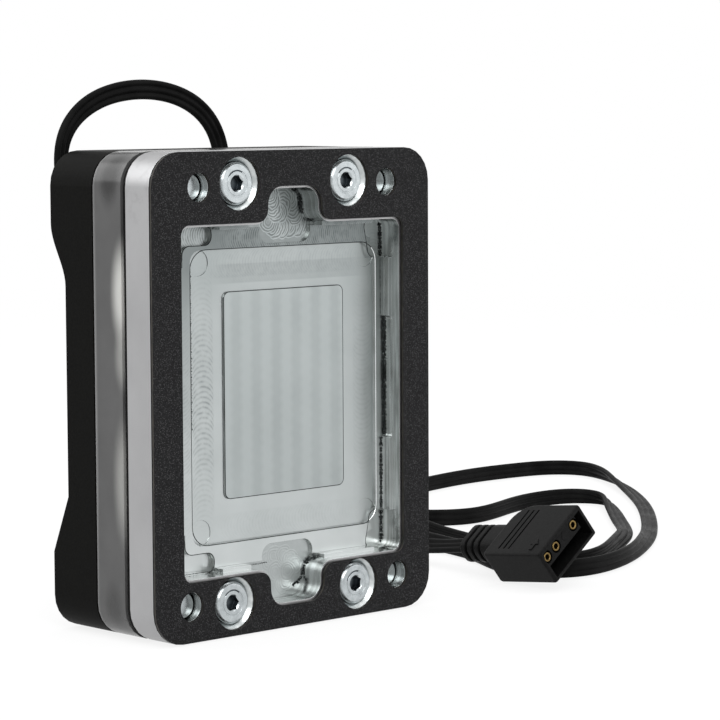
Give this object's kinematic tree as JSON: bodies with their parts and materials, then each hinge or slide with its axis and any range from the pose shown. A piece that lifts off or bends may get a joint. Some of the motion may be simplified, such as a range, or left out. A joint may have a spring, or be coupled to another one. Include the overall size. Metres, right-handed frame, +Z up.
{
  "type": "cpu water block",
  "caption": "Rectangular processor cooling block with a milled metal contact window, clear middle layer, humped rear cover and a flat lighting lead with socket.",
  "frame": {"origin": "centre of the bottom of the block's own box, the lead and its connector left out", "axes": "+Z up along the block's height, -Y out of the contact side, +X to the right as seen from the contact side"},
  "size_m": [0.1825, 0.1013, 0.0803],
  "materials": {
    "film": "black insulating film, fine specks",
    "nickel": "nickel plate over milled metal, satin floors and bright walls",
    "seal": "moulded black rubber",
    "steel": "plated steel",
    "acrylic": "smoked clear acrylic",
    "board": "coated circuit board",
    "diode": "clear-filled light package",
    "cover": "satin black",
    "wire": "soft black wire sleeve",
    "plastic": "moulded black plastic",
    "gilt": "gold-plated brass"
  },
  "bodies": {
    "root": {"insulating_sheet": "film", "cold_plate": "nickel", "main_gasket": "seal", "jet_plate": "steel", "acrylic_body": "acrylic", "port_seal_left": "seal", "port_seal_right": "seal", "light_board_left": "board", "light_board_right": "board", "led_left_upper": "diode", "led_left_lower": "diode", "led_right_upper": "diode", "led_right_lower": "diode", "rear_cover": "cover", "assembly_screw_top_left": "steel", "assembly_screw_top_right": "steel", "assembly_screw_bottom_left": "steel", "assembly_screw_bottom_right": "steel", "mounting_screw_top_left": "steel", "mounting_screw_top_right": "steel", "mounting_screw_bottom_left": "steel", "mounting_screw_bottom_right": "steel", "lead": "wire", "strain_relief": "plastic", "connector_housing": "plastic", "contact_1": "gilt", "contact_2": "gilt", "contact_4": "gilt"}
  },
  "joints": []
}
